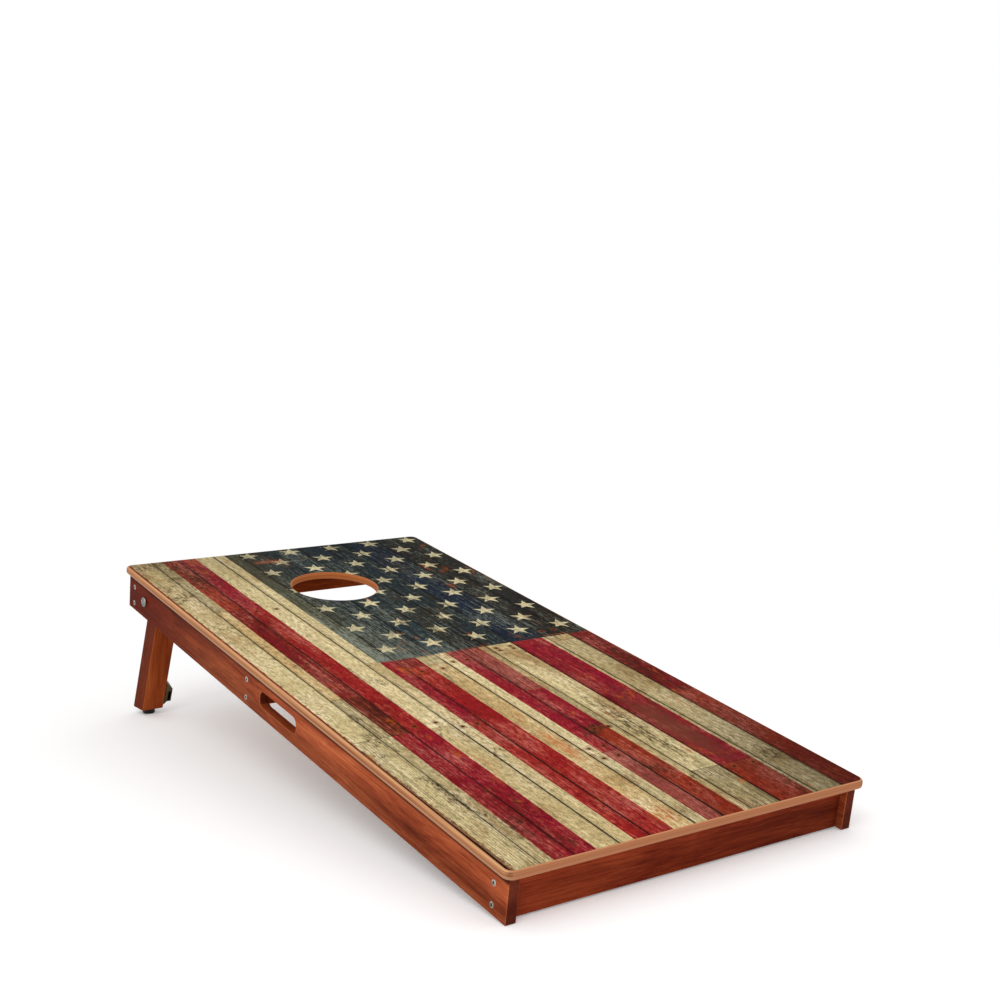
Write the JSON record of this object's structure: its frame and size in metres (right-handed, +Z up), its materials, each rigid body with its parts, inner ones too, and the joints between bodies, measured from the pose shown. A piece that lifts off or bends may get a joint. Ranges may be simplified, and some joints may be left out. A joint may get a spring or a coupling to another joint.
{
  "type": "cornhole board",
  "caption": "Sloping plywood game board with a round toss hole, on a wooden frame with carrying slots and separate folding rear legs.",
  "frame": {"origin": "on the floor, in the middle of the board's footprint, with the legs open", "axes": "+X to the right across the board, seen from its low front edge; +Y from the low front edge to the high back edge; +Z up"},
  "size_m": [0.6096, 1.2618, 0.2863],
  "materials": {
    "print": "satin printed sheet: weathered planks with red and cream stripes and cream stars on dark blue",
    "plywood": "clear-coated birch plywood, plies showing on the rounded edges",
    "stained_wood": "red-brown stain under a satin clear coat",
    "zinc": "bright zinc plating",
    "bronze": "dark olive bronze",
    "rubber": "matt black"
  },
  "bodies": {
    "board": {"deck_panel": "plywood", "printed_sheet": "print", "front_apron": "stained_wood", "centre_brace": "stained_wood", "rear_apron": "stained_wood", "left_side_rail": "stained_wood", "left_front_screw_upper": "zinc", "left_front_screw_lower": "zinc", "left_middle_screw_upper": "zinc", "left_middle_screw_lower": "zinc", "left_rear_screw_upper": "zinc", "left_rear_screw_lower": "zinc", "left_pivot_bolt": "zinc", "left_pivot_spacer": "zinc", "left_nut_washer": "zinc", "left_lock_nut": "zinc", "left_strike": "bronze", "left_strike_screw_inner": "zinc", "left_strike_screw_outer": "zinc", "right_side_rail": "stained_wood", "right_front_screw_upper": "zinc", "right_front_screw_lower": "zinc", "right_middle_screw_upper": "zinc", "right_middle_screw_lower": "zinc", "right_rear_screw_upper": "zinc", "right_rear_screw_lower": "zinc", "right_pivot_bolt": "zinc", "right_pivot_spacer": "zinc", "right_nut_washer": "zinc", "right_lock_nut": "zinc", "right_strike": "bronze", "right_strike_screw_inner": "zinc", "right_strike_screw_outer": "zinc"},
    "left_leg_assembly": {"left_leg": "stained_wood", "left_foot": "rubber", "left_foot_screw": "zinc", "left_catch": "bronze", "left_catch_screw_upper": "zinc", "left_catch_screw_lower": "zinc"},
    "right_leg_assembly": {"right_leg": "stained_wood", "right_foot": "rubber", "right_foot_screw": "zinc", "right_catch": "bronze", "right_catch_screw_upper": "zinc", "right_catch_screw_lower": "zinc"}
  },
  "joints": [
    {"name": "left_leg_fold", "type": "hinge", "parent": "board", "child": "left_leg_assembly", "pos_m": [-0.2552, 0.50334, 0.22836], "axis": [-1, 0, 0], "range_deg": [0, 105.6]},
    {"name": "right_leg_fold", "type": "hinge", "parent": "board", "child": "right_leg_assembly", "pos_m": [0.2552, 0.50334, 0.22836], "axis": [-1, 0, 0], "range_deg": [0, 105.6]}
  ]
}
